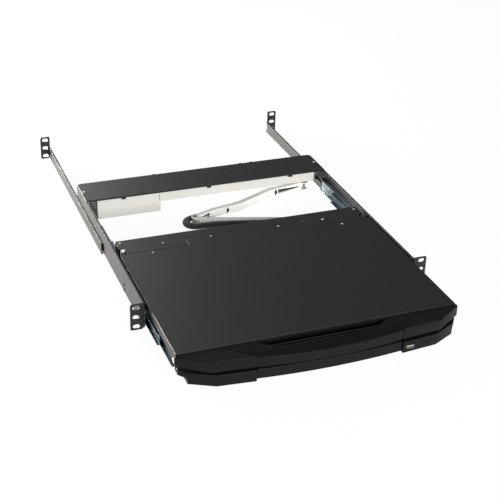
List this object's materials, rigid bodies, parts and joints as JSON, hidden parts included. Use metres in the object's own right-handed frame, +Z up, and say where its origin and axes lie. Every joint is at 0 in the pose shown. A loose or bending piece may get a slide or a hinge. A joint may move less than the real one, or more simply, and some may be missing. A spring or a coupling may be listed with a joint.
{
  "type": "rackmount console drawer",
  "caption": "Sliding rack drawer with a keyboard and touchpad under a hinged display lid, on adjustable rails with a folding cable arm.",
  "frame": {"origin": "centre of the front ears' hole pattern, on the ears' rear face that meets the rack posts", "axes": "+Z up, +Y towards the back of the rack, +X to the user's right; the drawer slides along -Y to come out"},
  "size_m": [0.4826, 0.8293, 0.0436],
  "materials": {
    "coated_black": "fine textured powder coat",
    "lid_black": "fine satin powder coat",
    "bezel_black": "moulded, fine grain",
    "zinc_plated": "bright zinc plate",
    "cream_coated": "light satin powder coat",
    "cream_plastic": "satin",
    "deck_black": "moulded, fine grain",
    "key_black": "moulded, satin",
    "glass_dark": "anti-glare",
    "panel_steel": "plain sheet",
    "pin_steel": "turned",
    "usb_steel": "nickel plated",
    "usb_white": "moulded",
    "insert_blue": "moulded",
    "inlet_black": "moulded",
    "cable_black": "braided sleeve",
    "tie_black": "moulded",
    "rubber_black": "moulded"
  },
  "bodies": {
    "frame": {"main_rails": "coated_black", "outer_slides": "zinc_plated", "rear_cover": "coated_black", "rear_housing": "cream_coated", "rear_panel": "coated_black", "power_inlet": "inlet_black", "inlet_pins": "pin_steel", "switch_body": "inlet_black", "port_shells": "usb_steel", "port_inserts": "insert_blue", "arm_rear_pin": "pin_steel", "rear_cable_grommet": "rubber_black", "cable_rear_tail": "cable_black"},
    "left_bracket": {"rear_bracket_left": "coated_black"},
    "right_bracket": {"rear_bracket_right": "coated_black"},
    "left_middle_slide": {"middle_slide_left": "zinc_plated"},
    "right_middle_slide": {"middle_slide_right": "zinc_plated"},
    "drawer": {"inner_slides": "zinc_plated", "base_pan": "coated_black", "hinge_cover": "coated_black", "hinge_cheeks": "coated_black", "hinge_caps": "cream_plastic", "keyboard_deck": "deck_black", "key_plate": "zinc_plated", "keycaps": "key_black", "touchpad": "deck_black", "lower_bezel_centre": "bezel_black", "lower_bezel_left": "bezel_black", "lower_bezel_right": "bezel_black", "front_usb_socket": "usb_steel", "front_usb_tongue": "usb_white", "drawer_tongue": "coated_black", "front_cable_grommet": "rubber_black", "cable_front_tail": "cable_black"},
    "lid": {"lid_shell": "lid_black", "screen_frame": "bezel_black", "display_glass": "glass_dark", "display_panel": "panel_steel", "upper_bezel_centre": "bezel_black", "upper_bezel_ends": "bezel_black", "hinge_arms": "coated_black"},
    "rear_arm": {"rear_link": "cream_coated", "elbow_pin": "pin_steel", "rear_cable_clips": "tie_black", "cable_rear_run": "cable_black", "cable_elbow_loop": "cable_black"},
    "front_arm": {"front_link": "cream_coated", "arm_front_pin": "pin_steel", "front_cable_clips": "tie_black", "cable_front_run": "cable_black"},
    "left_catch": {"release_catch_left": "cream_plastic"},
    "right_catch": {"release_catch_right": "cream_plastic"},
    "left_pad_button": {"pad_button_left": "deck_black"},
    "right_pad_button": {"pad_button_right": "deck_black"},
    "space_bar": {"space_bar": "key_black"},
    "power_rocker": {"switch_rocker": "inlet_black"},
    "screen_button_1": {"osd_button_1": "key_black"},
    "screen_button_2": {"osd_button_2": "key_black"},
    "screen_button_3": {"osd_button_3": "key_black"},
    "screen_button_4": {"osd_button_4": "key_black"}
  },
  "joints": [
    {"name": "drawer_slide", "type": "slide", "parent": "frame", "child": "drawer", "axis": [0, -1, 0], "range_m": [-0.118, 0.182], "deforming": ["cable_front_tail"]},
    {"name": "left_middle_slide", "type": "slide", "parent": "frame", "child": "left_middle_slide", "axis": [0, -1, 0], "range_m": [-0.059, 0.091]},
    {"name": "right_middle_slide", "type": "slide", "parent": "frame", "child": "right_middle_slide", "axis": [0, -1, 0], "range_m": [-0.059, 0.091]},
    {"name": "rear_link_pivot", "type": "hinge", "parent": "frame", "child": "rear_arm", "pos_m": [0.186, 0.36, -0.0102], "axis": [0, 0, 1], "range_deg": [-15.2, 23.5], "deforming": ["cable_rear_tail"]},
    {"name": "elbow_pivot", "type": "hinge", "parent": "rear_arm", "child": "front_arm", "pos_m": [-0.04787, 0.287, -0.0102], "axis": [0, 0, 1], "range_deg": [-47, 30.5], "deforming": ["cable_elbow_loop"]},
    {"name": "lid_hinge", "type": "hinge", "parent": "drawer", "child": "lid", "pos_m": [0, 0.165, 0.0145], "axis": [-1, 0, 0], "range_deg": [0, 110]},
    {"name": "left_bracket_slide", "type": "slide", "parent": "frame", "child": "left_bracket", "axis": [0, 1, 0], "range_m": [-0.024, 0.026]},
    {"name": "right_bracket_slide", "type": "slide", "parent": "frame", "child": "right_bracket", "axis": [0, 1, 0], "range_m": [-0.024, 0.026]},
    {"name": "left_catch_slide", "type": "slide", "parent": "drawer", "child": "left_catch", "axis": [0, -1, 0], "range_m": [0, 0.003], "stiffness_N_per_m": 600, "springref_m": -0.001},
    {"name": "right_catch_slide", "type": "slide", "parent": "drawer", "child": "right_catch", "axis": [0, -1, 0], "range_m": [0, 0.003], "stiffness_N_per_m": 600, "springref_m": -0.001},
    {"name": "left_pad_button_press", "type": "slide", "parent": "drawer", "child": "left_pad_button", "axis": [0, 0, -1], "range_m": [0, 0.0008], "stiffness_N_per_m": 800, "springref_m": -0.0005},
    {"name": "right_pad_button_press", "type": "slide", "parent": "drawer", "child": "right_pad_button", "axis": [0, 0, -1], "range_m": [0, 0.0008], "stiffness_N_per_m": 800, "springref_m": -0.0005},
    {"name": "space_bar_press", "type": "slide", "parent": "drawer", "child": "space_bar", "axis": [0, 0, -1], "range_m": [0, 0.0016], "stiffness_N_per_m": 300, "springref_m": -0.001},
    {"name": "power_rocker_pivot", "type": "hinge", "parent": "frame", "child": "power_rocker", "pos_m": [-0.124, 0.4215, 0], "axis": [-1, 0, 0], "range_deg": [0, 18]},
    {"name": "screen_button_1_press", "type": "slide", "parent": "lid", "child": "screen_button_1", "axis": [0, 0, 1], "range_m": [0, 0.001], "stiffness_N_per_m": 800, "springref_m": -0.0005},
    {"name": "screen_button_2_press", "type": "slide", "parent": "lid", "child": "screen_button_2", "axis": [0, 0, 1], "range_m": [0, 0.001], "stiffness_N_per_m": 800, "springref_m": -0.0005},
    {"name": "screen_button_3_press", "type": "slide", "parent": "lid", "child": "screen_button_3", "axis": [0, 0, 1], "range_m": [0, 0.001], "stiffness_N_per_m": 800, "springref_m": -0.0005},
    {"name": "screen_button_4_press", "type": "slide", "parent": "lid", "child": "screen_button_4", "axis": [0, 0, 1], "range_m": [0, 0.001], "stiffness_N_per_m": 800, "springref_m": -0.0005}
  ],
  "couplings": [
    {"joint": "left_middle_slide", "follows": "drawer_slide", "ratio": 0.5},
    {"joint": "right_middle_slide", "follows": "drawer_slide", "ratio": 0.5},
    {"joint": "rear_link_pivot", "follows": "drawer_slide", "rad_per_m": 2.243},
    {"joint": "elbow_pivot", "follows": "drawer_slide", "rad_per_m": -4.486}
  ]
}
